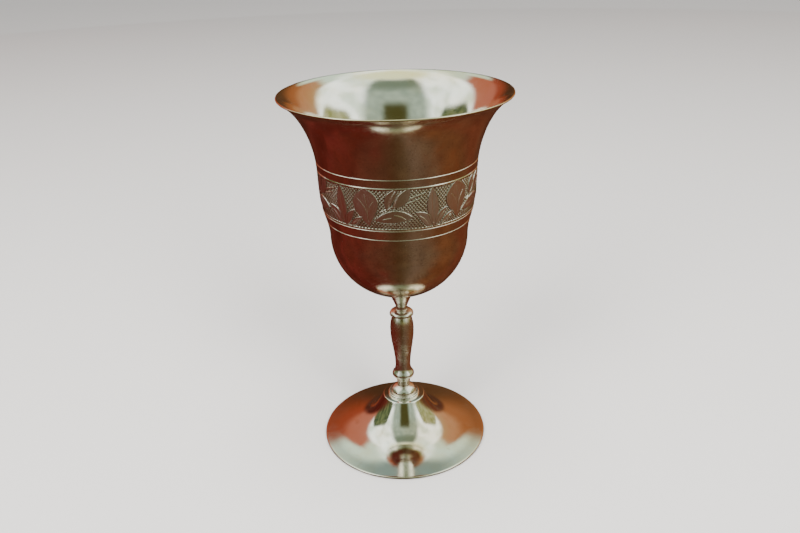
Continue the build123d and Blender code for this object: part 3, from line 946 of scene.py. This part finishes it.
def cloth_behind(node, sideways, z, folds, sky):
    """What stands behind the goblet: folds of cloth, then pale greenery, then the sky."""
    beyond = mixed(node, ranged(node, sideways, 0.20, 0.42), (0.27, 0.36, 0.32, 1), (0.95, 1.15, 0.92, 1))
    cloth_top = ranged(node, sideways, 0.40, 0.60, 0.0, 0.16)
    over_cloth = node("ShaderNodeMath", {0: z, 1: cloth_top}, operation="SUBTRACT").outputs[0]
    behind = mixed(node, ranged(node, over_cloth, 0.60, 0.68), folds, beyond)
    return mixed(node, ranged(node, z, 0.86, 0.95), behind, sky)


def tent_material():
    """Pale sky with a garden in front and cloth behind, over a dark table.

    Everything is set by the direction from the goblet: z is the sine of its elevation, and side and back
    are the shares of its level part that run to the right and away from the front.
    """
    material, tree, shader, node = start_material("tent_cloth")
    tree.nodes.remove(shader)
    place = node("ShaderNodeTexCoord").outputs["Object"]
    direction = node("ShaderNodeVectorMath", {0: place}, operation="NORMALIZE").outputs[0]
    parts = node("ShaderNodeSeparateXYZ", {"Vector": direction})
    x, y, z = (parts.outputs[axis] for axis in "XYZ")
    level = node("ShaderNodeCombineXYZ", {"X": x, "Y": y}).outputs[0]
    level = node("ShaderNodeVectorMath", {0: level}, operation="NORMALIZE").outputs[0]
    level = node("ShaderNodeSeparateXYZ", {"Vector": level})
    side, back = level.outputs["X"], level.outputs["Y"]
    sideways = node("ShaderNodeMath", {0: side}, operation="ABSOLUTE").outputs[0]
    left_to_right = node("ShaderNodeMapRange", {"Value": side})
    left_to_right.inputs["From Min"].default_value = -1.0
    table, cloth, folds = (
        banded(node, left_to_right.outputs[0], tones) for tones in (TABLE_TONES, CLOTH_TONES, FOLD_TONES)
    )
    patches = tent_noise(node, direction, 2.6)
    tufts = tent_noise(node, direction, 9.0)

    sky = mixed(node, ranged(node, patches, 0.42, 0.62), (2.1, 2.2, 2.1, 1), (1.25, 1.42, 1.18, 1))
    sky = mixed(node, ranged(node, z, 0.93, 0.99), sky, (1.35, 1.38, 0.80, 1))
    front = garden_in_front(node, side, sideways, z, tufts, sky)
    behind = cloth_behind(node, sideways, z, folds, sky)
    upper = mixed(node, ranged(node, back, 0.40, 0.58), front, behind)

    lower = mixed(node, ranged(node, back, 0.20, 0.55), table, cloth)
    stain = mixed(node, ranged(node, side, -0.7, 0.1), (0.20, 0.028, 0.025, 1), (0.14, 0.085, 0.045, 1))
    lower = mixed(node, ranged(node, patches, 0.50, 0.68, 0.0, 0.6), lower, stain)
    mottle = mixed(node, ranged(node, tufts, 0.35, 0.62), (0.72, 0.72, 0.74, 1), (1.15, 1.15, 1.15, 1))
    lower = node("ShaderNodeMix", {6: lower, 7: mottle}, data_type="RGBA", blend_type="MULTIPLY")
    lower.inputs[0].default_value = 1.0

    colour = mixed(node, ranged(node, z, -0.08, 0.10), lower.outputs[2], upper)
    glow = node("ShaderNodeEmission", {"Color": colour}, in_Strength=1.0)
    tree.links.new(glow.outputs[0], tree.nodes["Material Output"].inputs["Surface"])
    return material


tent.data.materials.append(tent_material())

LAMPS_AIM = 0.08  # height that the soft boxes face


def soft_box(name, azimuth, elevation, distance, width, height, power, colour=(1, 1, 1)):
    """A flat light that faces the goblet from an azimuth and an elevation, and isn't seen in reflections."""
    light = bpy.data.lights.new(name, "AREA")
    light.shape = "RECTANGLE"
    light.size, light.size_y = width, height
    light.energy = power
    light.color = colour
    lamp = bpy.data.objects.new(name, light)
    bpy.context.collection.objects.link(lamp)
    turn = Matrix.Rotation(radians(azimuth), 4, "Z") @ Matrix.Rotation(radians(90 - elevation), 4, "X")
    lamp.matrix_world = Matrix.Translation((0, 0, LAMPS_AIM)) @ turn @ Matrix.Translation((0, 0, distance))
    lamp.visible_glossy = False
    return lamp


soft_box("left_window", -38, 38, 1.1, 0.42, 0.95, 17, (1.0, 0.99, 0.97))
soft_box("right_window", 30, 38, 1.1, 0.36, 0.95, 17, (1.0, 0.99, 0.97))
soft_box("overhead", 0, 88, 1.2, 0.7, 0.5, 10)

world = bpy.data.worlds.new("studio")
bpy.context.scene.world = world
world.use_nodes = True
background = world.node_tree.nodes["Background"]
background.inputs["Color"].default_value = (0.93, 0.92, 0.91, 1)
background.inputs["Strength"].default_value = 0.8

# -------------------------------------------------------------------------------------------- camera
# The camera stands 27 cm in front of the goblet and 20 cm up, looks down over the lip and leans a little
# out of level.
CAMERA_PLACE = (-0.00006, -0.26745, 0.20098)
CAMERA_PITCH = 24.896  # degrees below level
CAMERA_ROLL = -1.692
SENSOR_WIDTH = 36.0
FOCAL_LENGTH = 33.94
lens = bpy.data.cameras.new("camera")
lens.sensor_width = SENSOR_WIDTH
lens.lens = FOCAL_LENGTH
lens.clip_start = 0.01
camera = bpy.data.objects.new("camera", lens)
bpy.context.collection.objects.link(camera)
camera.matrix_world = (
    Matrix.Translation(CAMERA_PLACE)
    @ Matrix.Rotation(radians(90 - CAMERA_PITCH), 4, "X")
    @ Matrix.Rotation(radians(CAMERA_ROLL), 4, "Z")
)
bpy.context.scene.camera = camera
